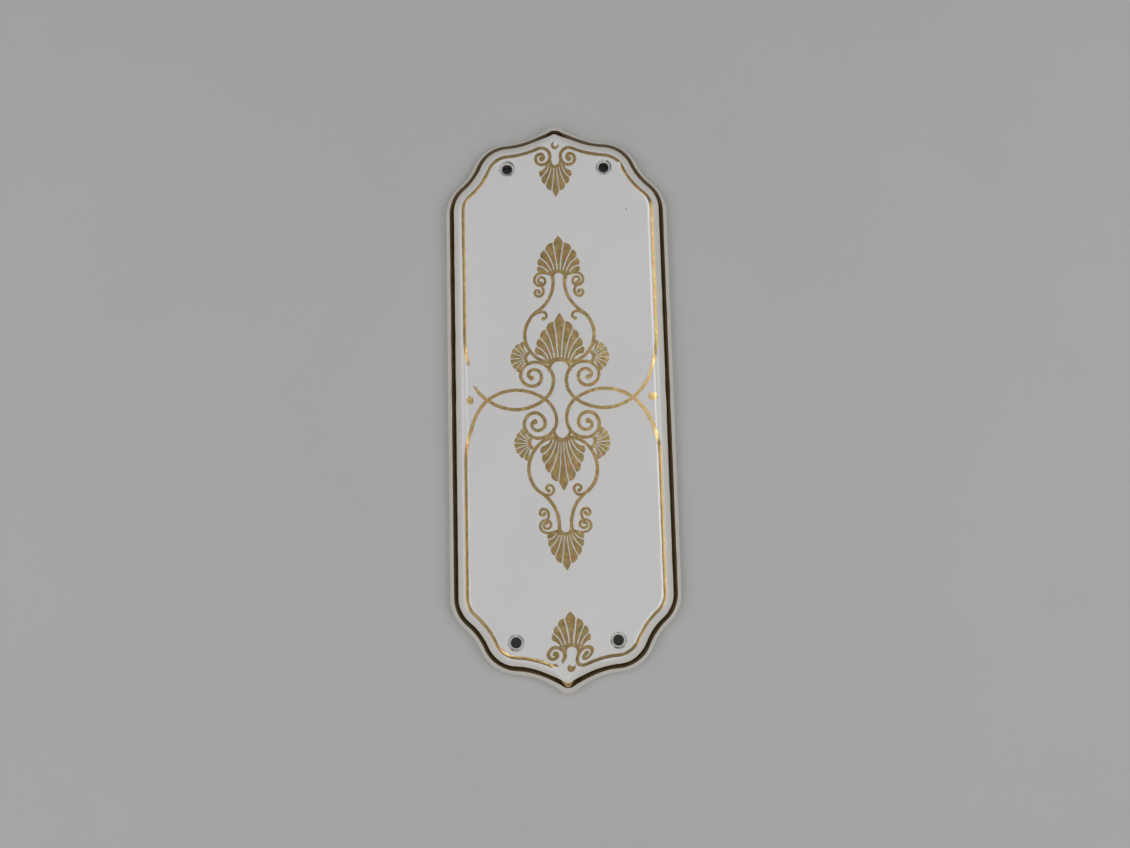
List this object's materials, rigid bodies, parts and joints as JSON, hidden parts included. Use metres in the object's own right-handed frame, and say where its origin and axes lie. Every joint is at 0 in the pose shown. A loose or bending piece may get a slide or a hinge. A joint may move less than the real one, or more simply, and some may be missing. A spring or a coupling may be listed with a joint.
{
  "type": "door finger plate",
  "caption": "Long glazed porcelain finger plate with lobed ends, a moulded edge, a gilt palmette ornament and countersunk holes that screw it to a door.",
  "frame": {"origin": "middle of the back, on the plane of the back rim", "axes": "+Y along the plate's length, +X across it, +Z out of its decorated front"},
  "size_m": [0.084, 0.2132, 0.0076],
  "materials": {
    "porcelain": "glossy white glaze",
    "gold": "fired-on gilding, worn in places"
  },
  "bodies": {
    "root": {"porcelain_plate": "porcelain", "gilding": "gold"}
  },
  "joints": []
}
